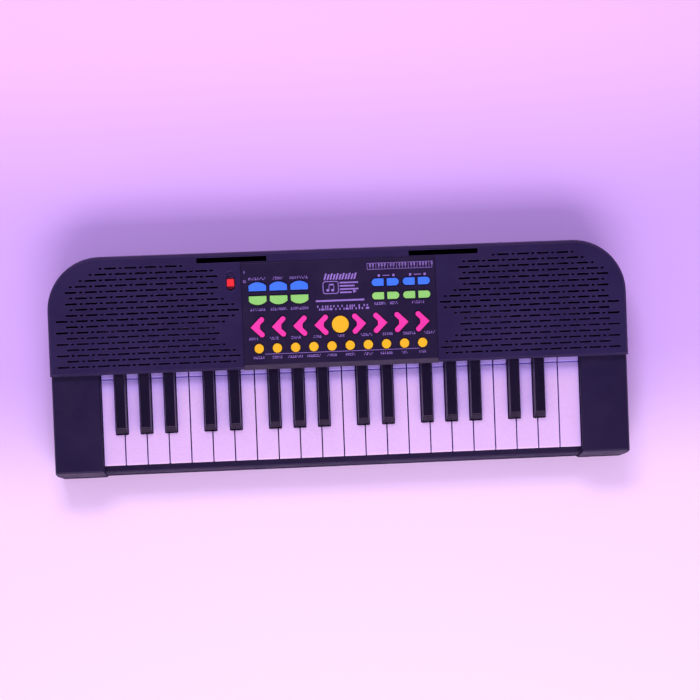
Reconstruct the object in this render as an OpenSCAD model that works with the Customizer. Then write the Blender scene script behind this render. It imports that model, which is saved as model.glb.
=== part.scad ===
// Toy electronic keyboard with mini piano keys, two speaker grilles and a button panel.
// It lies on its feet: +X runs along the keys to the high notes, the player sits towards -Y, +Z is up.
// The origin is the middle of the footprint, on the surface that the feet stand on.

/* [Body] */
// Length of the case over its sides
body_l = 431; // [428:1:436]
// Depth of the case from the front wall to the rear wall
body_d = 165.2; // [164:0.2:167]
// Height of the speaker deck above the table
deck_z = 42; // [41.6:0.2:43]
// Depth of the speaker deck, from the keys to the rear wall
deck_d = 87.7; // [87.4:0.1:88.4]
// Radius of the two rear corners
corner_r = 40; // [36:1:44]
// Height of the cheek blocks beside the keys
cheek_z = 36; // [34:1:37]
// Height of the seam between the two case shells
seam_z = 16; // [15:0.5:17]
// Wall thickness of the two case shells
wall = 2.5; // [2:0.1:2.6]
// Width of the bevel around the deck
bevel = 1.6; // [1:0.1:1.8]

/* [Keys] */
// Distance from one white key to the next
key_pitch = 16.22; // [16:0.01:16.3]
// Gap between two white keys
key_gap = 0.8; // [0.6:0.05:1.2]
// Length of a white key in front of the deck
white_l = 67.9; // [64:0.1:68]
// Length of a black key in front of the deck
black_l = 44.1; // [40:0.1:46]
// Width of a black key where it meets the white ones
black_w = 8.8; // [8:0.1:9]
// Width of a black key's flat top
black_top_w = 6.3; // [5.5:0.1:7]
// Height of the white keys' tops
white_z = 31; // [30.8:0.1:31.4]
// Height of the black keys' tops
black_z = 38; // [37:0.1:38.2]

/* [Panel] */
// Width of the button panel
panel_w = 144; // [143:0.5:146]
// Offset of the panel from the middle of the case
panel_x = 0; // [-1:0.1:1]
// Height of the panel's face above the deck
panel_rise = 1; // [0.6:0.1:1.4]
// How far the buttons stand out of the panel
button_rise = 1.3; // [1:0.1:1.8]
// Clearance around each button in the panel
button_gap = 0.35; // [0.3:0.05:0.5]

/* [Grilles] */
// Number of slot rows in a grille
grille_rows = 18; // [12:1:18]
// Distance from one row of slots to the next
row_pitch = 4.2; // [4:0.01:4.3]
// Distance from one long slot to the next in a row
slot_pitch = 14.75; // [14:0.05:15.2]
// Length of a long slot
dash_l = 8.7; // [8:0.1:9.4]
// Length of a short slot
dot_l = 2.2; // [1.8:0.1:2.4]
// Width of the slots
slot_w = 1.5; // [1.2:0.1:1.8]

/* [Hidden] */
$fn = 64;
eps = 0.01;

white_count = 22;
black_places = [1, 2, 3, 5, 6, 8, 9, 10, 12, 13, 15, 16, 17, 19, 20];
// Sideways shift of each black key from the line between its two white keys
black_shifts = [-2, 0, 2, -1.3, 1.3, -2, 0, 2, -1.3, 1.3, -2, 0, 2, -1.3, 1.3];

half_l = body_l / 2;
rear_y = body_d / 2;
front_y = -rear_y;
edge_y = rear_y - deck_d;
foot_h = 2;
floor_t = 2.2;
floor_z = foot_h + floor_t;
plate_t = 2.5;
plate_z = deck_z - plate_t;
reveal = 0.4;
draft = 0.6;
shoulder = 0.9;
shoulder_h = 4.4;
lower_half = half_l - 0.6;

keys_half = key_pitch * white_count / 2;
bed_half = keys_half + 0.1;
white_front_y = edge_y - white_l;
black_front_y = edge_y - black_l;
notch_y = black_front_y - 1;
notch_w = black_w + 0.8;
hinge_y = edge_y + 30;
hinge_z = 25;
barrel_r = 2.5;
arm_t = 2.6;
skirt_z = white_z - 10;
black_skirt_z = skirt_z + 1;
key_wall = 1.4;
rib_y = hinge_y - 55;
rib_z = 19.6;
groove_w = 1.1;
lip_z = 22;
lip_front_y = front_y + 4.9;
lip_foot_y = front_y + 1.5;
cheek_front_y = front_y + 6.7;
cheek_bevel = 1.2;
front_r = 6;
lip_back_y = white_front_y - 0.5;

panel_t = 2.2;
panel_top = deck_z + panel_rise;
panel_floor = panel_top - panel_t;
panel_front_y = edge_y - 0.5;
panel_back_y = rear_y - 9;
panel_bevel = 0.8;
panel_front_bevel = 3.6;
well_half = panel_w / 2 - 2.8;
well_y = [edge_y + 8.6, edge_y + 67.6];

button_top = panel_top + button_rise;
flange_z = [deck_z - 3.8, deck_z - 2.4];
flange_w = 0.6;
board_z = 33;
board_t = 1.6;
mat_t = 0.8;
mat_z = board_z + board_t;

top_row_y = edge_y + 60.6;
low_row_y = edge_y + 50.4;
arrow_y = edge_y + 30.7;
tone_y = edge_y + 15;
dome_x = [-60, -44.6, -29.2];
dome_w = 13;
dome_d = 6.5;
dome_r = 9.4;
pair_x = [34.3, 57.3];
pill_off = 5.6;
pill_w = 8.9;
arrow_x = [14, 29.65, 45.3, 60.95];
start_r = 6.25;
tone_pitch = 13.41;
tone_count = 10;
tone_r = 3.45;

slit_x = [52.5, 104];
slit_y = [rear_y - 8.4, rear_y - 4.5];
switch_x = -79.5;
switch_y = rear_y - 22.4;
knob_y = switch_y - 1;
knob_travel = 3;
dish_w = 6.6;
dish_l = 14.2;

speaker_x = 142;
speaker_y = rear_y - 33.5;
speaker_r = 28;

bay_half = 58;
bay_y = [hinge_y + 7.6, hinge_y + 42.1];
bay_z = 19.8;
cell_r = 7.1;
cell_l = 50;
door_gap = 0.3;
door_ear = 8;
door_screw_y = bay_y[1] + 4.4;

jack_z = 10;
mic_x = -150;
power_x = -132;

boss_r = 4.6;
post_r = 3.6;
screw_r = 1.4;
screw_head_r = 2.9;
case_bosses = [
    for (side = [-1, 1]) each [
        [side * (half_l - 11), front_y + 16.5],
        [side * (half_l - 11), edge_y + 12],
        [side * (half_l - 25), rear_y - 20],
        [side * 40, rear_y - 8],
    ]
];
foot_places = [for (sx = [-1, 1]) each [[sx * 185, front_y + 19], [sx * 150, rear_y - 14]]];

function two_digits(n) = n < 10 ? str("0", n) : str(n);
function white_name(i) = str("white_key_", two_digits(i + 1));
function black_name(i) = str("black_key_", two_digits(i + 1));

case_black = [0.13, 0.13, 0.15];
deep_black = [0.07, 0.07, 0.08];

// ---- Shape helpers ----

// A box given by its ranges along X, Y and Z
module block(x, y, z) {
    translate([x[0], y[0], z[0]]) cube([x[1] - x[0], y[1] - y[0], z[1] - z[0]]);
}

// A flat shape drawn in Y and Z, extruded along X
module along_x(x0, x1) {
    translate([x0, 0, 0]) rotate([90, 0, 90]) linear_extrude(x1 - x0) children();
}

// A flat shape drawn in X and Z, extruded along Y
module along_y(y0, y1) {
    translate([0, y1, 0]) rotate([90, 0, 0]) linear_extrude(y1 - y0) children();
}

// A vertical cylinder between two heights
module rod(place, r, z) {
    translate([place[0], place[1], z[0]]) cylinder(r = r, h = z[1] - z[0]);
}

module both_sides() {
    children();
    mirror([1, 0, 0]) children();
}

// A slab with square front corners and two round rear corners, centred on X
module deck_slab(half, front, rear, r, z) {
    block([-half, half], [front, rear - r], z);
    block([-half + r, half - r], [rear - r - eps, rear], z);
    both_sides() rod([half - r, rear - r], r, z);
}

// ---- Case ----

// Section of the deck from inside its rounded corner out to the bevelled edge
module deck_section(r) {
    polygon([
        [0, seam_z], [r, seam_z], [r - draft / 2, deck_z - bevel - shoulder_h],
        [r - draft / 2 - shoulder, deck_z - bevel], [r - draft / 2 - shoulder - bevel, deck_z], [0, deck_z]
    ]);
}

module deck_solid() {
    r = corner_r - reveal;
    x = half_l - corner_r;
    y = rear_y - corner_r;
    block([-x, x], [edge_y, y], [seam_z, deck_z]);
    translate([0, y, 0]) along_x(-x, x) deck_section(r);
    both_sides() {
        translate([x, 0, 0]) along_y(edge_y, y) deck_section(r);
        translate([x, y, 0]) rotate_extrude(angle = 90) deck_section(r);
    }
}

// One cheek block: a bevelled box with a sloping front wall
module cheek_solid() {
    outer = lower_half - reveal;
    inner = bed_half;
    r = front_r - 1;
    b = cheek_bevel;
    intersection() {
        along_y(front_y, edge_y + 3) polygon([
            [inner, seam_z], [outer, seam_z], [outer - draft, cheek_z - b], [outer - draft - b, cheek_z],
            [inner + b, cheek_z], [inner, cheek_z - b]
        ]);
        along_x(inner, outer) polygon([
            [edge_y + 3, seam_z], [front_y + reveal, seam_z], [cheek_front_y - b, cheek_z - b],
            [cheek_front_y, cheek_z], [edge_y + 3, cheek_z]
        ]);
        union() {
            block([inner, outer - r], [front_y, edge_y + 3], [seam_z, cheek_z]);
            block([inner, outer], [front_y + r, edge_y + 3], [seam_z, cheek_z]);
            rod([outer - r, front_y + r + reveal], r, [seam_z, cheek_z]);
        }
    }
}

// The low wall in front of the white keys
module front_lip() {
    along_x(-bed_half - eps, bed_half + eps) polygon([
        [lip_foot_y, seam_z], [lip_front_y - 1, lip_z - 1], [lip_front_y, lip_z],
        [lip_back_y - 0.4, lip_z], [lip_back_y, lip_z - 0.4], [lip_back_y, seam_z]
    ]);
}

// Space inside the deck and the two cheeks
module case_hollow() {
    low = seam_z - 1;
    deck_slab(half_l - wall, edge_y + wall, rear_y - wall, corner_r - wall, [low, plate_z]);
    both_sides() block([bed_half + wall, lower_half - reveal - draft - wall],
                       [cheek_front_y + wall, edge_y + wall + eps], [low, cheek_z - wall]);
    block([-bed_half, bed_half], [lip_back_y, edge_y], [low, deck_z + 1]);
    block([-bed_half, bed_half], [edge_y - eps, edge_y + wall + eps], [low, deck_z - 3.2]);
}

// How far the inner end of a grille row reaches past the plain edge of the grille
teeth = [14.5, 11.5, 3.5, 0];
function row_inset(row) = row == 1 ? -26 : teeth[min(3, min(abs(row - 9), abs(row - 17)))];
grille_inner_x = 87;
grille_outer_x = half_l - 4;
first_row_y = rear_y - 9.74;
function row_y(row) = first_row_y - row_pitch * (row - 1);
// Outer end of a row: a straight line beside the case wall, then an arc inside the round corner
function row_outer(row) =
    let (r = corner_r - 9, y = row_y(row) - (rear_y - corner_r))
    y < -3 ? grille_outer_x : half_l - corner_r + sqrt(r * r - y * y);

// The slots above the keys are blind, so that no dust falls on the key tails
blind_slot_t = 1.9;

module grille_slots() {
    row_start = half_l - 7.25;
    for (row = [1 : grille_rows], k = [0 : 9]) {
        dash_x = row_start - (row % 2 == 1 ? slot_pitch / 2 : 0) - k * slot_pitch;
        dot_x = dash_x - (dash_l + slot_pitch - dot_l) / 2;
        for (slot = [[dash_x, dash_l], [dot_x, dot_l]]) {
            inside = slot[0] < row_outer(row) && slot[0] - slot[1] > grille_inner_x - row_inset(row);
            if (inside) {
                y = row_y(row);
                low = y > hinge_y ? plate_z - 1 : deck_z - blind_slot_t;
                block([slot[0] - slot[1], slot[0]], [y - slot_w / 2, y + slot_w / 2], [low, deck_z + 1]);
            }
        }
    }
}

// Oblong with round ends, long side along Y
module oblong(place, w, l, z) {
    block([place[0] - w / 2, place[0] + w / 2], [place[1] - (l - w) / 2, place[1] + (l - w) / 2], z);
    for (end = [-1, 1]) rod([place[0], place[1] + end * (l - w) / 2], w / 2, z);
}

module top_case() {
    color(case_black) {
        difference() {
            union() {
                deck_solid();
                both_sides() cheek_solid();
                front_lip();
            }
            case_hollow();
            // Bevel along the deck's front edge
            along_x(-half_l - 1, half_l + 1)
                polygon([[edge_y - 1, deck_z - bevel - 1], [edge_y - 1, deck_z + 1], [edge_y + bevel + 1, deck_z + 1]]);
            // Seat of the control panel, and the well that its buttons stand in
            block([panel_x - panel_w / 2 - 0.1, panel_x + panel_w / 2 + 0.1],
                  [edge_y - 2, panel_back_y + 0.1], [panel_floor, deck_z + 1]);
            block([panel_x - well_half, panel_x + well_half], well_y, [plate_z - 1, deck_z + 1]);
            both_sides() block(slit_x, slit_y, [plate_z - 1, deck_z + 1]);
            both_sides() grille_slots();
            oblong([switch_x, switch_y], dish_w + 1.2, dish_l + 1.2, [deck_z - 0.4, deck_z + 1]);
            oblong([switch_x, switch_y], dish_w, dish_l, [deck_z - 1.4, deck_z + 1]);
            block([switch_x - 1.6, switch_x + 1.6], [knob_y - 2, knob_y + 2 + knob_travel],
                  [plate_z - 1, deck_z]);
        }
        for (place = case_bosses) screw_post(place, place[1] < edge_y ? cheek_z - wall : plate_z);
        // Ribs that hold the main board, and rings around the speakers
        for (sx = [-1, 1], y = [well_y[0] - 0.6, well_y[1] - 0.6])
            rod([panel_x + sx * (well_half + 2.4), y], 2, [mat_z, panel_floor]);
        for (sx = [-1, 1]) translate([sx * speaker_x, speaker_y, plate_z - 3]) difference() {
            cylinder(r = speaker_r + 2, h = 3 + eps);
            translate([0, 0, -1]) cylinder(r = speaker_r + 0.4, h = 5);
        }
    }
}

module screw_post(place, top) {
    difference() {
        rod(place, post_r, [seam_z, top + eps]);
        rod(place, screw_r, [seam_z - 1, seam_z + 12.5]);
    }
}

module bottom_shell(inset, z) {
    deck_slab(half_l - inset, edge_y + inset, rear_y - inset, corner_r - inset, z);
    r = front_r - inset;
    x = lower_half - inset;
    y = front_y + inset;
    mid = bed_half + inset;
    block([-x, x], [y + r, edge_y + inset + 1], z);
    block([-mid, mid], [lip_foot_y - reveal + inset, y + r + eps], z);
    both_sides() {
        block([mid - eps, x - r], [y, y + r + eps], z);
        rod([x - r, y + r], r, z);
    }
}

module bottom_case() {
    color(case_black) {
        difference() {
            bottom_shell(0, [foot_h, seam_z]);
            bottom_shell(wall, [floor_z, seam_z + 1]);
            // Battery hatch and the recess for the door's screw ear
            block([-bay_half, bay_half], bay_y, [foot_h - 1, floor_z + 1]);
            block([-door_ear, door_ear], [bay_y[1] - 1, bay_y[1] + 9], [foot_h - 1, floor_z - 0.8]);
            rod([0, door_screw_y], screw_r + 0.1, [foot_h - 1, floor_z + 1]);
            for (place = case_bosses) rod(place, screw_head_r + 0.3, [foot_h - 1, foot_h + 6]);
            // Holes for the two sockets
            for (x = [mic_x, power_x]) translate([x, rear_y + 1, jack_z]) rotate([90, 0, 0])
                cylinder(r = x == mic_x ? 4 : 5, h = wall + 2);
            // Grip notch for the hatch, a thumb wide
            block([-12, 12], [bay_y[0] - 5, bay_y[0] + eps], [foot_h - 1, foot_h + 1]);
        }
        battery_bay();
        for (place = case_bosses) difference() {
            rod(place, boss_r, [foot_h, seam_z]);
            rod(place, screw_head_r + 0.3, [foot_h - 1, foot_h + 6]);
            rod(place, screw_r + 0.3, [foot_h, seam_z + 1]);
        }
        // Ribs under the key contact board
        for (x = [-165 : 55 : 165], y = [rib_y - 8, rib_y + 10])
            block([x - 1, x + 1], [y, y + 3], [floor_z - eps, 12]);
    }
}

module battery_bay() {
    t = 1.6;
    difference() {
        block([-bay_half - t, bay_half + t], [bay_y[0] - t, bay_y[1] + t], [floor_z - eps, bay_z + t]);
        block([-bay_half, bay_half], bay_y, [floor_z - 1, bay_z]);
        rod([0, door_screw_y], boss_r, [floor_z - 1, bay_z + t + 1]);
    }
    difference() {
        rod([0, door_screw_y], boss_r, [floor_z - 0.8, bay_z - 4]);
        rod([0, door_screw_y], screw_r + 0.1, [floor_z - 2, bay_z - 6]);
        block([-bay_half, bay_half], bay_y, [floor_z - 1, bay_z]);
    }
}

module battery_door() {
    x = bay_half - door_gap;
    y = [bay_y[0] + door_gap, bay_y[1] - door_gap];
    color(case_black) difference() {
        union() {
            block([-x, x], y, [foot_h, floor_z - 0.2]);
            block([-door_ear + door_gap, door_ear - door_gap], [y[1] - eps, bay_y[1] + 9 - door_gap],
                  [foot_h, floor_z - 1]);
            // Ribs that bear on the cells
            for (rx = [-45 : 15 : 45]) block([rx - 0.6, rx + 0.6], [y[0] + 3, y[1] - 3], [foot_h + 1, floor_z + 0.5]);
        }
        rod([0, door_screw_y], screw_r + 0.3, [foot_h - 1, floor_z]);
        // Ridges for the thumb
        for (k = [0 : 4]) block([-9, 9], [y[0] + 2 + 2 * k, y[0] + 3 + 2 * k], [foot_h - 1, foot_h + 0.5]);
    }
}

// A pan-head screw standing point up, with a cross in its head
module screw(place, head_r, head_z, tip_z) {
    difference() {
        union() {
            rod(place, head_r, [head_z - 1.6, head_z]);
            rod(place, screw_r, [head_z - eps, tip_z]);
        }
        for (turn = [0, 90]) translate([place[0], place[1], head_z - 2]) rotate(turn)
            translate([-1.7, -0.35, 0]) cube([3.4, 0.7, 1.2]);
    }
}

module door_screw() {
    color("silver") screw([0, door_screw_y], 2.6, foot_h, bay_z - 7.5);
}

module case_screws() {
    color("silver") for (place = case_bosses) screw(place, screw_head_r, foot_h + 6, seam_z + 12);
}

module rubber_feet() {
    color(deep_black) for (place = foot_places) rod(place, 6.5, [0, foot_h]);
}

// ---- Control panel and its buttons ----

// Flat outlines of the buttons, each grown by g

// D shape with a flat side and a domed side that faces sy along Y
module dome_shape(sy, g = 0) {
    intersection() {
        square([dome_w + 2 * g, dome_d + 2 * g], center = true);
        translate([0, sy * (dome_d / 2 - dome_r)]) circle(r = dome_r + g);
    }
}

// Short pill with its round end towards sx along X
module pill_shape(h, sx, g = 0) {
    r = h / 2 + g;
    translate([sx * (pill_w / 2 - h / 2), 0]) circle(r = r);
    x = [-pill_w / 2 - g, pill_w / 2 - h / 2];
    translate([sx > 0 ? x[0] : -x[1], -r]) square([x[1] - x[0], 2 * r]);
}

// Point where the line from p touches the circle of radius r around c, on the left for side = 1
function touch(p, c, r, side) =
    let (v = c - p, d = norm(v), a = atan2(v[1], v[0]) + side * asin(r / d), l = sqrt(d * d - r * r))
    p + l * [cos(a), sin(a)];

// Points along an arc around c, turning left from the direction of p to that of q
function arc_between(c, r, p, q) =
    let (
        a = atan2(p[1] - c[1], p[0] - c[0]),
        b = atan2(q[1] - c[1], q[0] - c[0]),
        turn = b > a ? b - a : b - a + 360
    )
    [for (k = [0 : 12]) c + r * [cos(a + turn * k / 12), sin(a + turn * k / 12)]];

// Arrowhead that points along +X, with round arm ends
module arrow_shape(g = 0) {
    tip = [5.2 + 1.6 * g, 0];
    arm = [-3.2, 5.55];
    r = 1.95 + g;
    notch = [-1.9 - g, 1.5];
    upper = concat([tip], arc_between(arm, r, touch(tip, arm, r, -1), touch(notch, arm, r, 1)), [notch]);
    lower = [for (k = [len(upper) - 1 : -1 : 1]) [upper[k][0], -upper[k][1]]];
    polygon(concat(upper, lower));
}

module blue_layout(g = 0) {
    for (x = dome_x) translate([panel_x + x, top_row_y]) dome_shape(1, g);
    pill_pairs(top_row_y, 5.5, g);
}

module green_layout(g = 0) {
    for (x = dome_x) translate([panel_x + x, low_row_y]) dome_shape(-1, g);
    pill_pairs(low_row_y + 0.2, 5.3, g);
}

module pill_pairs(y, h, g) {
    for (pair = pair_x, end = [-1, 1])
        translate([panel_x + pair + end * pill_off, y]) pill_shape(h, end, g);
}

module arrow_layout(g = 0) {
    for (side = [-1, 1], x = arrow_x)
        translate([panel_x + side * x, arrow_y]) mirror([side < 0 ? 1 : 0, 0]) arrow_shape(g);
}

function tone_x(k) = panel_x + (k - (tone_count - 1) / 2) * tone_pitch;

module start_layout(g = 0) {
    translate([panel_x, arrow_y]) circle(r = start_r + g);
}

module tone_layout(g = 0) {
    for (k = [0 : tone_count - 1]) translate([tone_x(k), tone_y]) circle(r = tone_r + g);
}

// A row of push buttons: caps through the panel, each on a wider flange under it
module button_set(shade) {
    color(shade) {
        translate([0, 0, flange_z[1] - eps]) linear_extrude(button_top - flange_z[1] + eps) children(0);
        translate([0, 0, flange_z[0]]) linear_extrude(flange_z[1] - flange_z[0]) children(1);
    }
}

module blue_buttons() {
    button_set([0.25, 0.5, 1]) {
        blue_layout();
        blue_layout(flange_w);
    }
}

module green_buttons() {
    button_set([0.55, 0.9, 0.35]) {
        green_layout();
        green_layout(flange_w);
    }
}

module arrow_buttons() {
    button_set([1, 0.25, 0.65]) {
        arrow_layout();
        arrow_layout(flange_w);
    }
}

module start_button() {
    button_set([1, 0.72, 0.1]) {
        start_layout();
        start_layout(flange_w);
    }
}

module tone_buttons() {
    button_set([1, 0.72, 0.1]) {
        tone_layout();
        tone_layout(flange_w);
    }
}

module control_panel() {
    x = [panel_x - panel_w / 2, panel_x + panel_w / 2];
    color(case_black) difference() {
        intersection() {
            along_x(x[0], x[1]) polygon([
                [panel_front_y, panel_floor], [panel_front_y, panel_floor + 0.4],
                [panel_front_y + panel_front_bevel, panel_top], [panel_back_y - panel_bevel, panel_top],
                [panel_back_y, panel_top - panel_bevel], [panel_back_y, panel_floor]
            ]);
            along_y(panel_front_y, panel_back_y) polygon([
                [x[0], panel_floor], [x[0], panel_top - panel_bevel], [x[0] + panel_bevel, panel_top],
                [x[1] - panel_bevel, panel_top], [x[1], panel_top - panel_bevel], [x[1], panel_floor]
            ]);
        }
        translate([0, 0, panel_floor - 1]) linear_extrude(panel_t + 2) {
            blue_layout(button_gap);
            green_layout(button_gap);
            arrow_layout(button_gap);
            start_layout(button_gap);
            tone_layout(button_gap);
        }
    }
}

module main_board() {
    half = well_half + 3.8;
    y = [well_y[0] - 3, well_y[1] + 2];
    color([0.55, 0.42, 0.2]) {
        block([panel_x - half, panel_x + half], y, [board_z, board_z + board_t]);
        // Two chips under their resin domes, and the parts soldered beside them at the rear
        for (x = [-18, 22]) translate([x, y[1] - 14, board_z - 1.2]) cylinder(r1 = 4.5, r2 = 7, h = 1.2);
        for (x = [-48, -40, 44, 52]) rod([x, y[1] - 10], 2.5, [board_z - 6, board_z]);
        for (x = [-34 : 6 : -28]) block([x, x + 3.4], [y[1] - 12, y[1] - 10], [board_z - 1.2, board_z]);
    }
}

module button_mat() {
    dome = [mat_z + mat_t - eps, mat_z + 2.4];
    color([0.75, 0.75, 0.72]) {
        block([panel_x - well_half + 1, panel_x + well_half - 1], [well_y[0] + 0.5, well_y[1] - 2.5],
              [mat_z, mat_z + mat_t]);
        for (k = [0 : tone_count - 1]) rod([tone_x(k), tone_y], 2.6, dome);
        for (side = [-1, 1], x = arrow_x) rod([panel_x + side * x, arrow_y], 2.6, dome);
        rod([panel_x, arrow_y], 3.4, dome);
        for (y = [top_row_y, low_row_y]) {
            for (x = dome_x) rod([panel_x + x, y], 2.6, dome);
            for (pair = pair_x, end = [-1, 1]) rod([panel_x + pair + end * pill_off, y], 2.2, dome);
        }
    }
}

// ---- Power switch ----

module switch_body() {
    color("silver") difference() {
        block([switch_x - 5, switch_x + 5], [knob_y - 6, knob_y + 6 + knob_travel], [plate_z - 5.5, plate_z]);
        block([switch_x - 1.8, switch_x + 1.8], [knob_y - 2.2, knob_y + 2.2 + knob_travel],
              [plate_z - 3.6, plate_z + 1]);
    }
}

module switch_knob() {
    low = deck_z - 1.1;
    skirt = deck_z - 0.1;
    top = deck_z + 0.7;
    cap = 2.4;
    color([0.9, 0.1, 0.1]) {
        oblong([switch_x, switch_y - 1.5], dish_w - 0.6, 8.4, [low, skirt]);
        intersection() {
            along_y(knob_y - cap - 0.4, knob_y + cap + 0.4) polygon([
                [switch_x - cap - 0.4, skirt - eps], [switch_x - cap, top], [switch_x + cap, top],
                [switch_x + cap + 0.4, skirt - eps]
            ]);
            along_x(switch_x - cap - 0.4, switch_x + cap + 0.4) polygon([
                [knob_y - cap - 0.4, skirt - eps], [knob_y - cap, top], [knob_y + cap, top],
                [knob_y + cap + 0.4, skirt - eps]
            ]);
        }
        block([switch_x - 1.3, switch_x + 1.3], [knob_y - 1.5, knob_y + 1.5], [plate_z - 3, low + eps]);
    }
}

// ---- Keys ----

function line_x(i) = key_pitch * i - keys_half;
function black_x(k) = line_x(black_places[k]) + black_shifts[k];
// Number of the black key on the line i between two white keys, or undef
function black_on(i) = let (hits = search(i, black_places)) len(hits) > 0 ? hits[0] : undef;
// Sides of a white key's narrow rear part
function rear_left(i) = is_undef(black_on(i)) ? line_x(i) + key_gap / 2 : black_x(black_on(i)) + notch_w / 2;
function rear_right(i) =
    is_undef(black_on(i + 1)) ? line_x(i + 1) - key_gap / 2 : black_x(black_on(i + 1)) - notch_w / 2;

// Side view of a key's rear arm, from under the deck to its pivot, as the end of an outline
function arm_outline(low) = [
    [edge_y + 14, white_z - 1], [hinge_y - 6, hinge_z + arm_t / 2], [hinge_y, hinge_z + arm_t / 2],
    [hinge_y, hinge_z - arm_t / 2], [hinge_y - 6, hinge_z - arm_t / 2], [edge_y + 12, low]
];
function front_round(y, z, r) = [for (a = [0 : 22.5 : 90]) [y + r - r * cos(a), z - r + r * sin(a)]];

module pivot_barrel(x0, x1) {
    translate([x0, hinge_y, hinge_z]) rotate([0, 90, 0]) cylinder(r = barrel_r, h = x1 - x0);
}

module white_key(i) {
    x0 = line_x(i) + key_gap / 2;
    x1 = line_x(i + 1) - key_gap / 2;
    left = rear_left(i);
    right = rear_right(i);
    groove_y = edge_y - 4.2;
    inner_z = white_z - 2;
    color("ivory") {
        difference() {
            along_x(x0, x1) polygon(concat(
                [[white_front_y, skirt_z]], front_round(white_front_y, white_z, 1.2),
                [[groove_y, white_z], [groove_y, white_z - 0.8], [groove_y + groove_w, white_z - 0.8],
                 [groove_y + groove_w, white_z + 0.4], [edge_y + 3, white_z + 0.4], [edge_y + 5, white_z - 1]],
                arm_outline(skirt_z)
            ));
            block([x0 - 1, left], [left > x0 ? notch_y : hinge_y + 5, hinge_y + 10], [0, deck_z]);
            block([right, x1 + 1], [right < x1 ? notch_y : hinge_y + 5, hinge_y + 10], [0, deck_z]);
            block([x0 + key_wall, x1 - key_wall], [white_front_y + 1.6, notch_y - key_wall], [0, inner_z]);
            block([left + key_wall, right - key_wall], [notch_y, edge_y + 11], [0, inner_z - 0.6]);
        }
        block([left + key_wall - eps, right - key_wall + eps], [rib_y, rib_y + 1.2], [rib_z, inner_z]);
        pivot_barrel(left + 0.6, right - 0.6);
    }
}

module black_key(k) {
    x = black_x(k);
    w = black_w / 2;
    tw = black_top_w / 2;
    color(deep_black) {
        difference() {
            intersection() {
                along_x(x - w, x + w) polygon(concat(
                    [[black_front_y, black_skirt_z], [black_front_y, white_z + 2],
                     [black_front_y + 3.7, black_z - 0.4], [black_front_y + 4.4, black_z],
                     [edge_y + 1.5, black_z], [edge_y + 3, white_z - 1]],
                    arm_outline(black_skirt_z)
                ));
                along_y(black_front_y, hinge_y) polygon([
                    [x - w, 0], [x - w, white_z], [x - tw - 0.3, black_z - 0.3], [x - tw, black_z],
                    [x + tw, black_z], [x + tw + 0.3, black_z - 0.3], [x + w, white_z], [x + w, 0]
                ]);
            }
            block([x - w + key_wall, x + w - key_wall], [black_front_y + 1.6, edge_y + 11], [0, white_z - 3]);
            block([x - tw + key_wall, x + tw - key_wall], [black_front_y + 6, edge_y], [0, black_z - 2]);
        }
        block([x - w + key_wall - eps, x + w - key_wall + eps], [rib_y, rib_y + 1.2], [rib_z, white_z - 2]);
        pivot_barrel(x - w + 0.6, x + w - 0.6);
    }
}

// Bar across the case that all the keys snap into and swing on
module key_rail() {
    half = keys_half;
    color([0.8, 0.8, 0.78]) {
        difference() {
            block([-half, half], [hinge_y - 2.6, hinge_y + 6], [hinge_z - 5.5, hinge_z + 5.5]);
            pivot_trough(half + 1);
            block([-half - 1, half + 1], [hinge_y - 5, hinge_y], [hinge_z - 1.75, hinge_z + 1.75]);
        }
        for (x = [-150 : 60 : 150]) rod([x, hinge_y + 2.5], 3.5, [floor_z, hinge_z - 5.5 + eps]);
    }
}

module pivot_trough(half) {
    translate([-half, hinge_y, hinge_z]) rotate([0, 90, 0]) cylinder(r = barrel_r + 0.3, h = 2 * half);
}

module key_board() {
    color([0.55, 0.42, 0.2]) block([-keys_half + 1, keys_half - 1], [rib_y - 11, rib_y + 13], [12, 13.6]);
}

module key_rubber_strip() {
    y = rib_y + 0.6;
    color([0.75, 0.75, 0.72]) {
        block([-keys_half + 2, keys_half - 2], [y - 5, y + 5], [13.6, 14.4]);
        for (i = [0 : white_count - 1]) rod([(rear_left(i) + rear_right(i)) / 2, y], 2.8, [14.4 - eps, 17.2]);
        for (k = [0 : len(black_places) - 1]) rod([black_x(k), y], 2.8, [14.4 - eps, 17.2]);
    }
}

// ---- Speakers, power and sockets ----

module speaker() {
    rotate_extrude() polygon([
        [0, 20], [14, 20], [14, 29.6], [15, 30], [speaker_r - 2.4, plate_z - 1.6], [speaker_r, plate_z - 1.6],
        [speaker_r, plate_z], [speaker_r - 2.4, plate_z], [speaker_r - 4, plate_z - 1.2], [9, 32.5],
        [7, 33.6], [0, 34.6]
    ]);
}

module speakers() {
    color(deep_black) for (sx = [-1, 1]) translate([sx * speaker_x, speaker_y, 0]) speaker();
}

bay_mid_y = (bay_y[0] + bay_y[1]) / 2;
cell_z = floor_z + 0.6 + cell_r;
cell_rows = [bay_mid_y - 8.4, bay_mid_y + 8.4];

module batteries() {
    color([0.15, 0.35, 0.2]) for (y = cell_rows, sx = [-1, 1])
        translate([sx * (cell_l / 2 + 0.6) - cell_l / 2, y, cell_z]) rotate([0, 90, 0]) {
            cylinder(r = cell_r, h = cell_l - 1.2);
            translate([0, 0, cell_l - 1.2 - eps]) cylinder(r = 2.7, h = 1.2);
        }
}

module battery_contacts() {
    color("silver") for (y = cell_rows, sx = [-1, 1]) {
        plate_x = [bay_half - 0.5, bay_half];
        x = sx > 0 ? plate_x : [-plate_x[1], -plate_x[0]];
        block(x, [y - 6.5, y + 6.5], [cell_z - 6.5, cell_z + 6.5]);
        translate([sx * bay_half, y, cell_z]) rotate([0, -sx * 90, 0])
            for (turn = [0 : 2]) translate([0, 0, 0.5 + 1.8 * turn]) difference() {
                cylinder(r = 4.6 - turn * 0.8, h = 1.9);
                translate([0, 0, -1]) cylinder(r = 3.9 - turn * 0.8, h = 4);
            }
    }
}

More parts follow.
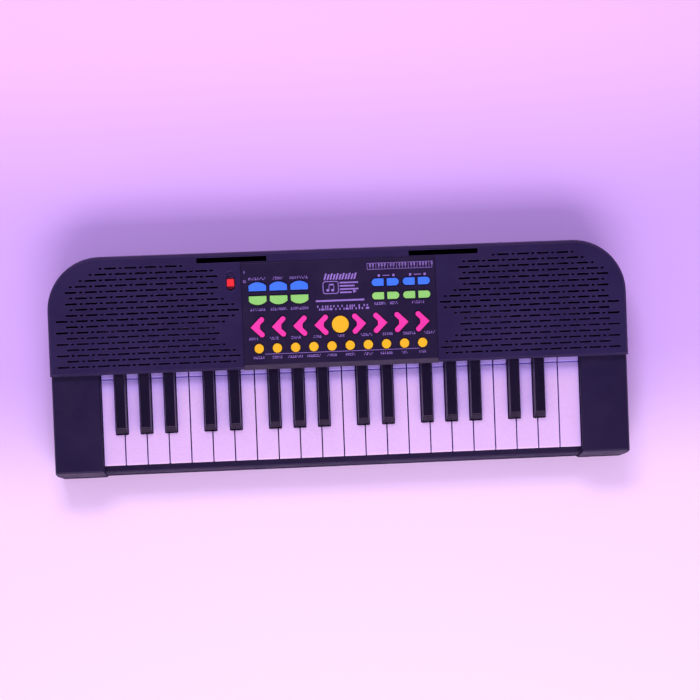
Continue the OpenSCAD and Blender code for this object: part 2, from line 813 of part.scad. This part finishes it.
// A round socket in the rear wall, with its square body inside the case
module socket(x, nose_r, bore_r, depth, body) {
    difference() {
        union() {
            translate([x, rear_y - 0.4, jack_z]) rotate([90, 0, 0]) cylinder(r = nose_r, h = wall + 1);
            block([x - body[0] / 2, x + body[0] / 2], [rear_y - wall - body[1], rear_y - wall],
                  [jack_z - body[0] / 2, jack_z + body[0] / 2]);
        }
        translate([x, rear_y, jack_z]) rotate([90, 0, 0]) cylinder(r = bore_r, h = depth + 0.4);
    }
}

module rear_jacks() {
    color(deep_black) {
        socket(mic_x, 3.9, 1.8, 14, [9, 14]);
        socket(power_x, 4.9, 2.85, 9.5, [11, 11]);
        translate([power_x, rear_y - 1, jack_z]) rotate([90, 0, 0]) cylinder(r = 1, h = 10);
    }
}

// ---- Assembly ----

top_case();
bottom_case();
control_panel();
blue_buttons();
green_buttons();
arrow_buttons();
start_button();
tone_buttons();
switch_knob();
switch_body();
main_board();
button_mat();
key_board();
key_rubber_strip();
key_rail();
speakers();
batteries();
battery_contacts();
battery_door();
door_screw();
case_screws();
rubber_feet();
rear_jacks();
for (i = [0 : white_count - 1]) white_key(i);
for (k = [0 : len(black_places) - 1]) black_key(k);
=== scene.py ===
"""Looks for the toy keyboard: materials, softened edges, printed marks, floor, light and camera."""

import math
import random

import bmesh
import bpy
from mathutils import Matrix, Vector


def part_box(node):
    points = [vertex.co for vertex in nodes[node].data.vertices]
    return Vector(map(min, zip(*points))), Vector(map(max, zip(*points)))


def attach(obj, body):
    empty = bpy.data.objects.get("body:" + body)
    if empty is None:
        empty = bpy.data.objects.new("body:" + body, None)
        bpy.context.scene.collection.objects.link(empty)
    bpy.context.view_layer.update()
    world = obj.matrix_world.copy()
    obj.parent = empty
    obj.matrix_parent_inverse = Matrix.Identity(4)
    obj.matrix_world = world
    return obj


MM = 0.001
random.seed(37)
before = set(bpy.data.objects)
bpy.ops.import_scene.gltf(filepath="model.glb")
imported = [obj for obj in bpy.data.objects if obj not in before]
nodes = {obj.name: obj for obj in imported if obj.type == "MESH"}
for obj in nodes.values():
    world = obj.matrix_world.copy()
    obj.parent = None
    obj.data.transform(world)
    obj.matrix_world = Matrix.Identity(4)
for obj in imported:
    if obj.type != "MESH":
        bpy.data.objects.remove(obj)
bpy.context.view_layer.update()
scene = bpy.context.scene

EDGE_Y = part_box("control_panel")[0][1]  # the panel's front edge, beside the keys
CELL_PITCH = 51.2 * MM  # from one battery cell to the next in a row
RAYS = 6  # rays that each bevel or ambient-occlusion node sends


# ---------------------------------------------------------------- node graphs
class Graph:
    """A material's node tree around one Principled shader, in the row frame's metres."""

    def __init__(self, name):
        self.material = bpy.data.materials.new(name)
        self.material.use_nodes = True
        self.tree = self.material.node_tree
        self.tree.nodes.clear()
        self.shader = self.tree.nodes.new("ShaderNodeBsdfPrincipled")
        out = self.tree.nodes.new("ShaderNodeOutputMaterial")
        self.tree.links.new(self.shader.outputs[0], out.inputs["Surface"])
        self.place = self.tree.nodes.new("ShaderNodeTexCoord").outputs["Object"]

    def put(self, socket, value):
        if isinstance(value, bpy.types.NodeSocket):
            self.tree.links.new(value, socket)
        elif isinstance(value, tuple) and len(value) == 3 and socket.type == "RGBA":
            socket.default_value = (*value, 1.0)
        else:
            socket.default_value = value

    def add(self, kind, out=0, **inputs):
        node = self.tree.nodes.new(kind)
        for name, value in inputs.items():
            self.put(node.inputs[name.replace("_", " ")], value)
        return node.outputs[out]

    def noise(self, size, detail=2.0, rough=0.5, place=None, out=0):
        """Noise whose features are about size metres wide."""
        return self.add(
            "ShaderNodeTexNoise", out, Vector=place or self.place, Scale=1 / size,
            Detail=detail, Roughness=rough,
        )

    def stretch(self, x, y, z):
        node = self.tree.nodes.new("ShaderNodeMapping")
        self.put(node.inputs["Vector"], self.place)
        node.inputs["Scale"].default_value = (x, y, z)
        return node.outputs[0]

    def axis(self, which):
        return self.add("ShaderNodeSeparateXYZ", "XYZ".index(which), Vector=self.place)

    def math(self, kind, a, b=0.0, c=0.0):
        node = self.tree.nodes.new("ShaderNodeMath")
        node.operation = kind
        for socket, value in zip(node.inputs, (a, b, c)):
            self.put(socket, value)
        return node.outputs[0]

    def remap(self, value, a, b, c=0.0, d=1.0):
        node = self.tree.nodes.new("ShaderNodeMapRange")
        node.interpolation_type = "SMOOTHSTEP"
        for socket, number in zip(node.inputs, (value, a, b, c, d)):
            self.put(socket, number)
        return node.outputs[0]

    def mix(self, share, a, b, kind="MIX"):
        node = self.tree.nodes.new("ShaderNodeMix")
        node.data_type = "RGBA"
        node.blend_type = kind
        self.put(node.inputs[0], share)
        self.put(node.inputs[6], a)
        self.put(node.inputs[7], b)
        return node.outputs[2]

    def bump(self, height, depth, before=None):
        """A bump of depth metres over the height's whole range."""
        node = self.tree.nodes.new("ShaderNodeBump")
        node.inputs["Distance"].default_value = depth
        self.put(node.inputs["Height"], height)
        if before is not None:
            self.put(node.inputs["Normal"], before)
        return node.outputs[0]

    def rounded(self, radius):
        node = self.tree.nodes.new("ShaderNodeBevel")
        node.samples = RAYS
        node.inputs["Radius"].default_value = radius
        return node.outputs[0]

    def edges(self, radius, low=0.02, high=0.22):
        """1 along edges, 0 on flat faces."""
        straight = self.add("ShaderNodeNewGeometry", 1)
        dot = self.tree.nodes.new("ShaderNodeVectorMath")
        dot.operation = "DOT_PRODUCT"
        self.put(dot.inputs[0], self.rounded(radius))
        self.put(dot.inputs[1], straight)
        return self.remap(self.math("SUBTRACT", 1.0, dot.outputs["Value"]), low, high)

    def openness(self, reach, shut, free):
        """0 in corners and slots up to about reach metres wide, 1 out in the open."""
        near = self.tree.nodes.new("ShaderNodeAmbientOcclusion")
        near.samples = RAYS
        near.inputs["Distance"].default_value = reach
        return self.remap(near.outputs["AO"], shut, free)

    def finish(self, **inputs):
        for name, value in inputs.items():
            self.put(self.shader.inputs[name.replace("_", " ")], value)
        return self.material


EDGE_WEAR_AND_HIGHLIGHT = (0.06, 0.045, 0.14)  # what a pale edge adds to the colour: wear, and a violet painted highlight


def moulded(name, colour, rough, grain=0.35, grain_depth=0.012, vary=0.12, wear_and_highlight=0.25, gloss=0.5,
            smear=0.08, sink=0.02, round_over=0.0, edge=0.35, shade=None):
    """Moulded plastic: fine spark texture, faint flow marks, handling smears, and pale edges that are partly
    wear and partly a painted highlight.

    grain, grain_depth, sink, round_over and edge are in millimetres.
    """
    g = Graph(name)
    cloud = g.noise(60 * MM, 4.0, 0.6)
    flow = g.noise(9 * MM, 3.0, 0.6, g.stretch(1.0, 0.25, 1.0))
    speck = g.noise(0.5 * MM, 2.0, 0.6)
    dark = tuple(c * (1 - vary) for c in colour)
    pale = tuple(min(1.0, c * (1 + vary)) for c in colour)
    tone = g.mix(g.remap(cloud, 0.3, 0.7), dark, pale)
    tone = g.mix(g.remap(flow, 0.35, 0.75, 0.0, 0.35), tone, pale)
    tone = g.mix(g.remap(speck, 0.62, 0.8, 0.0, 0.25), tone, dark)
    if shade:
        tone = shade(g, tone)
    patchy = g.remap(g.noise(7 * MM, 5.0, 0.7), 0.38, 0.68, 0.35, 1.0)
    # Pale edges: partly wear, partly a painted highlight along the bevels, tinted violet like the light.
    rubbed_and_lit = g.math("MULTIPLY", g.edges(edge * MM), patchy)
    worn_and_lit = tuple(min(1.0, 1.5 * c + lift) for c, lift in zip(colour, EDGE_WEAR_AND_HIGHLIGHT))
    tone = g.mix(g.math("MULTIPLY", rubbed_and_lit, wear_and_highlight), tone, worn_and_lit)
    hands = g.remap(g.noise(28 * MM, 6.0, 0.72), 0.35, 0.72, -smear, smear)
    fine = g.remap(g.noise(1.6 * MM, 3.0, 0.6), 0.3, 0.7, -0.03, 0.03)
    roughness = g.math("ADD", g.math("ADD", hands, fine), rough)
    soft = g.rounded(round_over * MM) if round_over else None
    normal = g.bump(g.noise(18 * MM, 1.0, 0.4), sink * MM, soft)
    normal = g.bump(g.noise(grain * MM, 2.0, 0.7), grain_depth * MM, normal)
    return g.finish(Base_Color=tone, Roughness=roughness, Normal=normal, Specular_IOR_Level=gloss)


def metal(name, colour, rough, streak=(1.0, 1.0, 0.06), tarnish=0.35):
    """Plated or rolled metal: fine drawn streaks, dull patches and small scratches."""
    g = Graph(name)
    drawn = g.noise(0.35 * MM, 3.0, 0.6, g.stretch(*streak))
    patch = g.noise(6 * MM, 5.0, 0.65)
    dull = tuple(0.55 * c for c in colour)
    tone = g.mix(g.remap(patch, 0.42, 0.7, 0.0, tarnish), colour, dull)
    tone = g.mix(g.remap(drawn, 0.4, 0.75, 0.0, 0.25), tone, dull)
    streaks = g.remap(drawn, 0.3, 0.7, -0.06, 0.08)
    roughness = g.math("ADD", streaks, g.remap(patch, 0.3, 0.7, rough, rough + 0.14))
    normal = g.bump(g.noise(9 * MM, 1.0), 0.02 * MM)
    normal = g.bump(drawn, 0.004 * MM, normal)
    g.shader.inputs["Metallic"].default_value = 1.0
    return g.finish(Base_Color=tone, Roughness=roughness, Normal=normal)


def board_material():
    """Brown phenolic board with soldered tracks, pads and flux stains."""
    g = Graph("phenolic_board")
    cells = g.tree.nodes.new("ShaderNodeTexVoronoi")
    cells.distance = "CHEBYCHEV"
    cells.feature = "F1"
    cells.inputs["Scale"].default_value = 1 / (4.2 * MM)
    g.put(cells.inputs["Vector"], g.place)
    reach = cells.outputs["Distance"]
    track = g.math("MULTIPLY", g.remap(reach, 0.36, 0.4), g.remap(reach, 0.52, 0.48))
    pad = g.remap(reach, 0.16, 0.12)
    fibre = g.noise(0.7 * MM, 3.0, 0.6, g.stretch(1.0, 0.2, 1.0))
    flux = g.noise(13 * MM, 4.0, 0.6)
    tone = g.mix(g.remap(fibre, 0.35, 0.7), (0.23, 0.12, 0.035), (0.30, 0.17, 0.06))
    tone = g.mix(g.remap(flux, 0.5, 0.75, 0.0, 0.4), tone, (0.14, 0.07, 0.02))
    tone = g.mix(g.math("MULTIPLY", track, 0.7), tone, (0.10, 0.20, 0.07))
    tone = g.mix(pad, tone, (0.62, 0.61, 0.60))
    height = g.math("ADD", g.math("MULTIPLY", track, 0.4), pad)
    normal = g.bump(height, 0.05 * MM, g.bump(fibre, 0.01 * MM))
    return g.finish(Base_Color=tone, Metallic=g.math("MULTIPLY", pad, 0.9), Normal=normal,
                    Roughness=g.remap(flux, 0.3, 0.7, 0.34, 0.55))


def battery_material():
    """Printed shrink wrap around steel cells: bare ends, a pale band and a dark body."""
    g = Graph("cell_wrap")
    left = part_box("batteries")[0][0]
    across = g.math("SUBTRACT", g.axis("X"), left)
    share = g.math("FRACT", g.math("DIVIDE", across, CELL_PITCH))
    band = g.math("MULTIPLY", g.remap(share, 0.60, 0.605), g.remap(share, 0.84, 0.835))
    crease = g.noise(3 * MM, 4.0, 0.6, g.stretch(0.3, 1.0, 1.0))
    tone = g.mix(g.remap(crease, 0.3, 0.7), (0.018, 0.07, 0.035), (0.03, 0.11, 0.055))
    tone = g.mix(band, tone, (0.60, 0.42, 0.10))
    scuff = g.remap(g.noise(1.2 * MM, 5.0, 0.7, g.stretch(0.2, 1.0, 1.0)), 0.62, 0.78, 0.0, 0.4)
    tone = g.mix(scuff, tone, (0.45, 0.45, 0.45))
    return g.finish(Base_Color=tone, Roughness=g.remap(crease, 0.3, 0.7, 0.22, 0.42),
                    Normal=g.bump(crease, 0.03 * MM))


def knob_shade(g, tone):
    """The knob's low skirt is much darker than its cap."""
    skirt_top, cap_foot = 42.02 * MM, 42.25 * MM
    return g.mix(g.remap(g.axis("Z"), skirt_top, cap_foot), (0.10, 0.004, 0.006), tone)


def case_shade(g, tone):
    """Painted shade: the slots, seams and recesses are darkened to near black, and the cheeks beside the keys
    are painted darker than the deck.
    """
    # Painted shade: near black where the slots, seams and recesses close in.
    tone = g.mix(g.openness(2.5 * MM, 0.25, 0.75), (0.001, 0.001, 0.002), tone)
    # Painted shade: the cheeks beside the keys are darker than the deck.
    painted_cheek_shade = g.remap(g.axis("Y"), EDGE_Y + 0.5 * MM, EDGE_Y - 0.5 * MM, 0.0, 0.42)
    return g.mix(painted_cheek_shade, tone, (0.0, 0.0, 0.004))


def key_shade(g, tone):
    """Painted shade on the white keys: a blue-violet tint where the keys crowd close, and a painted shadow
    under the deck's edge.
    """
    # Painted shade: blue-violet where the keys crowd close.
    tone = g.mix(g.openness(15 * MM, 0.3, 0.9), (0.50, 0.50, 0.80), tone)
    # Painted shadow of the deck's edge: blue-violet over the rear of the keys.
    painted_edge_shadow = g.remap(g.axis("Y"), EDGE_Y - 19 * MM, EDGE_Y - 2 * MM, 0.0, 0.55)
    return g.mix(painted_edge_shadow, tone, (0.36, 0.37, 0.82))


def button_shade(g, tone):
    """Painted shade: a button's rim, and its sides down in its hole, are darkened to a deeper tone of its
    colour.
    """
    # Painted shade along the button's rim.
    painted_rim_shade = g.remap(g.edges(0.9 * MM, 0.01, 0.2), 0.0, 1.0, 0.0, 0.45)
    shaded_tone = g.mix(1.0, tone, (0.42, 0.36, 0.45), "MULTIPLY")
    tone = g.mix(painted_rim_shade, tone, shaded_tone)
    # Painted shade where the hole closes round the button.
    return g.mix(g.openness(2.2 * MM, 0.3, 0.85), shaded_tone, tone)


def button_plastic(name, colour, rough=0.38, vary=0.06, wear_and_highlight=0.08):
    return moulded(
        name, colour, rough, grain_depth=0.003, vary=vary, wear_and_highlight=wear_and_highlight, shade=button_shade,
    )


SLOTS = {
    "case": moulded(
        "case_black", (0.0145, 0.0120, 0.047), 0.5, gloss=0.3, round_over=0.35, wear_and_highlight=0.75, edge=0.7,
        shade=case_shade,
    ),
    "lower_case": moulded(
        "lower_black", (0.008, 0.007, 0.018), 0.7, grain=0.5, grain_depth=0.02, gloss=0.12, round_over=0.3,
    ),
    "panel": moulded(
        "panel_black", (0.0095, 0.0078, 0.027), 0.48, grain_depth=0.002, gloss=0.3, wear_and_highlight=0.45, edge=0.5,
    ),
    "white_key": moulded(
        "white_plastic", (0.74, 0.70, 0.76), 0.30, grain_depth=0.002, vary=0.025, wear_and_highlight=0.0, smear=0.06,
        shade=key_shade,
    ),
    "black_key": moulded(
        "black_plastic", (0.005, 0.004, 0.013), 0.34, grain_depth=0.002, vary=0.1, wear_and_highlight=0.08,
        smear=0.05, gloss=0.3,
    ),
    "button_blue": button_plastic("blue_plastic", (0.05, 0.28, 0.86)),
    "button_green": button_plastic("green_plastic", (0.30, 1.0, 0.15)),
    "button_pink": button_plastic("pink_plastic", (0.94, 0.06, 0.36), 0.40, vary=0.05),
    "button_yellow": button_plastic("yellow_plastic", (0.96, 0.72, 0.012), 0.34, vary=0.05, wear_and_highlight=0.05),
    "knob_red": moulded(
        "red_plastic", (0.92, 0.04, 0.03), 0.34, grain_depth=0.003, vary=0.08, wear_and_highlight=0.1, shade=knob_shade,
    ),
    "inner_plastic": moulded(
        "natural_abs", (0.48, 0.47, 0.42), 0.46, grain=0.6, grain_depth=0.015, vary=0.08,
    ),
    "circuit_board": board_material(),
    "silicone": moulded(
        "silicone", (0.46, 0.47, 0.46), 0.62, grain=0.9, grain_depth=0.02, vary=0.1, wear_and_highlight=0.0,
    ),
    "foot_rubber": moulded(
        "foot_rubber", (0.016, 0.016, 0.017), 0.78, grain=0.4, grain_depth=0.03, vary=0.2, wear_and_highlight=0.4,
    ),
    "speaker_black": moulded(
        "paper_cone", (0.020, 0.019, 0.019), 0.72, grain=0.7, grain_depth=0.05, vary=0.25,
    ),
    "socket_black": moulded("socket_black", (0.014, 0.014, 0.015), 0.32, grain_depth=0.004, wear_and_highlight=0.4),
    "battery_wrap": battery_material(),
    "contact_metal": metal("nickel_plate", (0.66, 0.64, 0.60), 0.22),
    "switch_metal": metal("tinned_steel", (0.60, 0.60, 0.61), 0.34, (1.0, 0.06, 1.0)),
    "screw_steel": metal("zinc_plate", (0.55, 0.56, 0.58), 0.28, (0.15, 1.0, 1.0)),
}
for node in nodes.values():
    for place in node.material_slots:
        place.material = SLOTS[place.material.name.split(".")[0]]


# ---------------------------------------------------------------- softened edges
JOIN_GAP = 0.002 * MM  # points this close are one point
FLAT_TURN = 0.6  # faces that turn less than this many degrees become one
SMOOTH_TURN, CRISP_TURN = 30, 12  # an edge that turns more than this many degrees is sharp


def clean_group(angle):
    """Joins the faces of a CAD node at their edges and marks the sharp ones."""
    group = bpy.data.node_groups.new("joined_faces", "GeometryNodeTree")
    group.interface.new_socket("Geometry", in_out="INPUT", socket_type="NodeSocketGeometry")
    group.interface.new_socket("Geometry", in_out="OUTPUT", socket_type="NodeSocketGeometry")

    def add(kind, **values):
        node = group.nodes.new(kind)
        for name, value in values.items():
            node.inputs[name.replace("_", " ")].default_value = value
        return node

    first, last = add("NodeGroupInput"), add("NodeGroupOutput")
    plain = add("GeometryNodeRemoveAttribute", Name="custom_normal")
    merge = add("GeometryNodeMergeByDistance", Distance=JOIN_GAP)
    smooth = add("GeometryNodeSetShadeSmooth", Shade_Smooth=True)
    sharp = add("GeometryNodeSetShadeSmooth", Shade_Smooth=False)
    sharp.domain = "EDGE"
    turn = add("GeometryNodeInputMeshEdgeAngle")
    over = add("FunctionNodeCompare")
    over.data_type, over.operation = "FLOAT", "GREATER_THAN"
    over.inputs[1].default_value = angle
    group.links.new(turn.outputs[0], over.inputs[0])
    group.links.new(over.outputs[0], sharp.inputs["Selection"])
    chain = [first, plain, merge, smooth, sharp, last]
    for a, b in zip(chain, chain[1:]):
        group.links.new(a.outputs[0], b.inputs[0])
    return group


JOINED = {turn: clean_group(math.radians(turn)) for turn in (SMOOTH_TURN, CRISP_TURN)}


def soften(node, width, angle=SMOOTH_TURN):
    """Rounds a CAD node's sharp edges over a width in millimetres."""
    joined = node.modifiers.new("joined", "NODES")
    joined.node_group = JOINED[angle]
    flat = node.modifiers.new("flat", "DECIMATE")
    flat.decimate_type = "DISSOLVE"
    flat.angle_limit = math.radians(FLAT_TURN)
    edge = node.modifiers.new("edge", "BEVEL")
    edge.width = width * MM
    edge.segments = 2
    edge.limit_method = "ANGLE"
    edge.angle_limit = math.radians(angle)
    edge.use_clamp_overlap = False
    edge.harden_normals = True
    edge.miter_outer = "MITER_ARC"


for name, node in nodes.items():
    if name.startswith("white_key"):
        soften(node, 0.3)
    elif name.startswith("black_key"):
        soften(node, 0.35, angle=CRISP_TURN)
soften(nodes["control_panel"], 0.15, angle=CRISP_TURN)
for name in ("blue_buttons", "green_buttons", "arrow_buttons", "start_button", "tone_buttons"):
    soften(nodes[name], 0.3)


# ---------------------------------------------------------------- printed marks on the panel
# In millimetres, as everything that Print draws is
INK_T = 0.03
INK_SINK = 0.005  # how far the ink reaches into the panel
INK_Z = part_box("control_panel")[1][2] / MM - INK_SINK
SIGNS = (  # each sign is one or two rectangles in a unit cell
    ((0, 0, 0.34, 1), (0.66, 0, 1, 1)),
    ((0, 0, 1, 0.3), (0, 0.7, 1, 1)),
    ((0.3, 0, 0.7, 1),),
    ((0, 0, 0.4, 0.4), (0.6, 0.6, 1, 1)),
    ((0, 0, 1, 0.42), (0.3, 0.6, 0.7, 1)),
    ((0, 0.58, 0.4, 1), (0.6, 0, 1, 0.42)),
)
SIGN_PITCH = 0.86  # of the signs in a word, over their height
SIGN_W = 0.76  # of a sign, over its cell's width


class Print:
    """Flat ink marks, drawn in millimetres on the panel's top."""

    def __init__(self):
        self.mesh = bmesh.new()

    def shape(self, points):
        low = [self.mesh.verts.new((x * MM, y * MM, INK_Z * MM)) for x, y in points]
        top = [self.mesh.verts.new((x * MM, y * MM, (INK_Z + INK_T) * MM)) for x, y in points]
        self.mesh.faces.new(top)
        self.mesh.faces.new(low[::-1])
        for i in range(len(points)):
            k = (i + 1) % len(points)
            self.mesh.faces.new((low[i], low[k], top[k], top[i]))

    def bar(self, x, y, w, h, lean=0.0):
        s = lean * h / 2
        self.shape([(x - w / 2 - s, y - h / 2), (x + w / 2 - s, y - h / 2),
                    (x + w / 2 + s, y + h / 2), (x - w / 2 + s, y + h / 2)])

    def disc(self, x, y, r, sides=24, flat=1.0):
        turn = [math.tau * i / sides for i in range(sides)]
        self.shape([(x + r * math.cos(a), y + flat * r * math.sin(a)) for a in turn])

    def ring(self, x, y, w, h, corner, line):
        """A rounded rectangle drawn as a line, made of short pieces."""
        def path(r):
            points = []
            for cx, cy, start in ((1, 1, 0), (-1, 1, 90), (-1, -1, 180), (1, -1, 270)):
                middle_x, middle_y = x + cx * (w / 2 - corner), y + cy * (h / 2 - corner)
                for step in range(0, 91, 15):
                    a = math.radians(start + step)
                    points.append((middle_x + r * math.cos(a), middle_y + r * math.sin(a)))
            return points

        outer, inner = path(corner), path(corner - line)
        for i in range(len(outer)):
            k = (i + 1) % len(outer)
            self.shape([inner[i], outer[i], outer[k], inner[k]])

    def word(self, x, y, w, h):
        """A label that holds no letters: a row of plain signs of the given width."""
        count = max(2, round(w / (SIGN_PITCH * h)))
        cell = w / count
        for i in range(count):
            for x0, y0, x1, y1 in random.choice(SIGNS):
                middle_x = x - w / 2 + i * cell + (x0 + x1) / 2 * cell * SIGN_W
                middle_y = y + ((y0 + y1) / 2 - 0.5) * h
                self.bar(middle_x, middle_y, (x1 - x0) * cell * SIGN_W, (y1 - y0) * h)

    def words(self, xs, y, widths, h=1.9):
        for x, w in zip(xs, widths):
            self.word(x, y, w, h)

    def done(self, name, material, body):
        data = bpy.data.meshes.new(name)
        self.mesh.to_mesh(data)
        self.mesh.free()
        made = bpy.data.objects.new(name, data)
        scene.collection.objects.link(made)
        data.materials.append(material)
        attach(made, body)


def key_strip(marks):
    """A strip of small piano keys at the top right."""
    left, pitch, line, count = 21.4, 2.18, 0.28, 22
    for i in range(count + 1):
        marks.bar(left + i * pitch, 67.4, line, 4.7)
    for level in (65.1, 69.7):
        marks.bar(45.4, level, 48.1, line)
    for i in range(count):
        if i % 7 not in (2, 6):
            marks.bar(left + (i + 1) * pitch, 68.4, 1.15, 2.5)


def level_bars(marks):
    """Slanted bars above the note sign, every other one a little shorter."""
    for i in range(11):
        short = i % 2
        marks.bar(-9.8 + i * 2.2, 60.9 - 0.3 * short, 1.25, 4.6 - 0.6 * short, 0.32)


def note_sign(marks):
    """The framed note, its block of bars, the small arrow and the lines below them."""
    marks.ring(-6.0, 52.9, 11.8, 9.4, 2.0, 0.55)
    for x in (-8.2, -4.6):
        marks.disc(x, 50.9, 1.15, flat=0.8)
        marks.bar(x + 0.95, 53.1, 0.45, 4.4)
    marks.bar(-5.4, 55.0, 4.05, 1.0)
    for i, w in enumerate((13.6, 11.0, 13.6, 8.6)):
        marks.bar(0.7 + w / 2, 56.2 - i * 2.4, w, 1.15)
    marks.shape([(10.4, 48.3), (13.2, 49.6), (10.4, 50.9)])
    marks.bar(0.5, 43.2, 35.8, 1.3)
    marks.word(2.9, 38.0, 39.0, 3.6)


def switch_signs(marks):
    """The power switch's on and off signs."""
    marks.bar(-69.3, 66.4, 0.5, 2.0)
    marks.ring(-69.3, 59.6, 2.0, 2.0, 1.0, 0.42)


def upper_labels(marks):
    """Labels of the domed buttons on the left and the pill buttons on the right."""
    domes = (-60.0, -44.6, -29.2)
    marks.words(domes, 61.3, (12.7, 7.5, 13.4))
    marks.words(domes, 38.6, (11.3, 12.3, 13.6))
    for middle in (35.2, 58.4):
        for side in (-1, 1):
            marks.disc(middle + side * 5.4, 60.4, 0.95)
        marks.bar(middle, 60.4, 5.2, 0.55)
    marks.words((30.0, 40.4, 58.3), 39.9, (8.9, 6.1, 9.9))


def lower_labels(marks):
    """Labels of the arrow and start buttons, the line below them, and labels of the tone buttons."""
    arrow_xs = (-63.9, -48.8, -32.8, -17.0, 0.65, 19.3, 34.9, 50.9, 66.0)
    marks.words(arrow_xs, 17.2, (7.2, 6.6, 7.4, 6.2, 5.6, 8.6, 7.6, 9.2, 8.2))
    marks.bar(0.9, 5.7, 114.0, 0.4)
    tone_pitch, tone_count = 13.41, 10
    tone_xs = [(i - (tone_count - 1) / 2) * tone_pitch for i in range(tone_count)]
    marks.words(tone_xs, 3.2, (8.5, 7.4, 11.6, 10.4, 7.4, 7.4, 6.6, 9.4, 4.3, 5.6), 1.8)


panel_marks = Print()
for draw in (key_strip, level_bars, note_sign, switch_signs, upper_labels, lower_labels):
    draw(panel_marks)
ink = moulded("lilac_ink", (0.27, 0.22, 0.46), 0.46, grain=0.2, grain_depth=0.004, vary=0.18, wear_and_highlight=0.0)
panel_marks.done("panel_print", ink, "case")


# ---------------------------------------------------------------- floor, light and camera
def paper_material():
    """Paper with painted light: pale pools of painted light near the player and beyond the keyboard, and a
    lilac band of painted shade where the keyboard lies.
    """
    g = Graph("paper")
    # Painted light: pale towards the player and far beyond the keyboard; the lilac between is painted shade.
    near_light_pool = g.remap(g.axis("Y"), 0.01, -0.12)
    far_light_pool = g.remap(g.axis("Y"), 0.09, 0.26)
    fibre = g.remap(g.noise(0.4, 3.0), 0.3, 0.7)
    tone = g.mix(fibre, (0.68, 0.60, 0.84), (0.72, 0.64, 0.88))
    tone = g.mix(near_light_pool, tone, (0.97, 1.0, 0.95))
    tone = g.mix(far_light_pool, tone, (0.96, 0.82, 0.92))
    return g.finish(Base_Color=tone, Roughness=0.75, Normal=g.bump(g.noise(0.6 * MM), 0.01 * MM))


floor_half = 6.0
floor_mesh = bpy.data.meshes.new("floor")
grid = bmesh.new()
bmesh.ops.create_grid(grid, x_segments=8, y_segments=8, size=floor_half)
grid.to_mesh(floor_mesh)
grid.free()
floor = bpy.data.objects.new("floor", floor_mesh)
scene.collection.objects.link(floor)
floor_mesh.materials.append(paper_material())


def room(low, high, strength):
    """An even room whose light goes from one colour at the horizon to another overhead."""
    world = bpy.data.worlds.new("room")
    scene.world = world
    world.use_nodes = True
    sky = world.node_tree
    ramp = sky.nodes.new("ShaderNodeValToRGB")
    split = sky.nodes.new("ShaderNodeSeparateXYZ")
    sky.links.new(sky.nodes.new("ShaderNodeTexCoord").outputs["Generated"], split.inputs[0])
    sky.links.new(split.outputs["Z"], ramp.inputs[0])
    sky.links.new(ramp.outputs[0], sky.nodes["Background"].inputs["Color"])
    for stop, (position, colour) in zip(ramp.color_ramp.elements, (low, high)):
        stop.position = position
        stop.color = (*colour, 1.0)
    sky.nodes["Background"].inputs["Strength"].default_value = strength


room((0.05, (0.95, 0.62, 1.0)), (0.75, (0.17, 0.10, 0.36)), 0.9)


def area(name, place, target, size, power, colour):
    data = bpy.data.lights.new(name, "AREA")
    data.shape = "RECTANGLE"
    data.size, data.size_y = size
    data.energy = power
    data.color = colour
    lamp = bpy.data.objects.new(name, data)
    scene.collection.objects.link(lamp)
    lamp.location = place
    lamp.rotation_euler = (Vector(target) - Vector(place)).to_track_quat("-Z", "Y").to_euler()


area("key_light", (-0.2, 1.0, 1.15), (0, 0, 0), (0.7, 0.35), 12, (0.84, 0.56, 1.0))
area("front_light", (0.1, -1.05, 1.25), (0, -0.05, 0), (1.3, 0.6), 14, (0.98, 0.60, 1.0))
area("floor_light", (0.0, -0.95, 0.8), (0, -0.6, 0), (1.8, 0.4), 5, (1.0, 0.80, 0.98))

camera = bpy.data.objects.new("camera", bpy.data.cameras.new("camera"))
scene.collection.objects.link(camera)
scene.camera = camera
camera.data.lens = 79.2
camera.data.clip_start, camera.data.clip_end = 0.05, 30
eye, aim = Vector((-0.045, 0.0269, 1.178)), Vector((0.0065, 0.0063, 0.042))
upward = Vector((0.0384, 1.0, 0.0))  # what points up in the picture, which leans a little
ahead = (aim - eye).normalized()
right = ahead.cross(upward).normalized()
turned = Matrix((right, right.cross(ahead), -ahead)).transposed().to_4x4()
camera.matrix_world = Matrix.Translation(eye) @ turned
scene.view_settings.view_transform = "Standard"

bpy.context.view_layer.update()
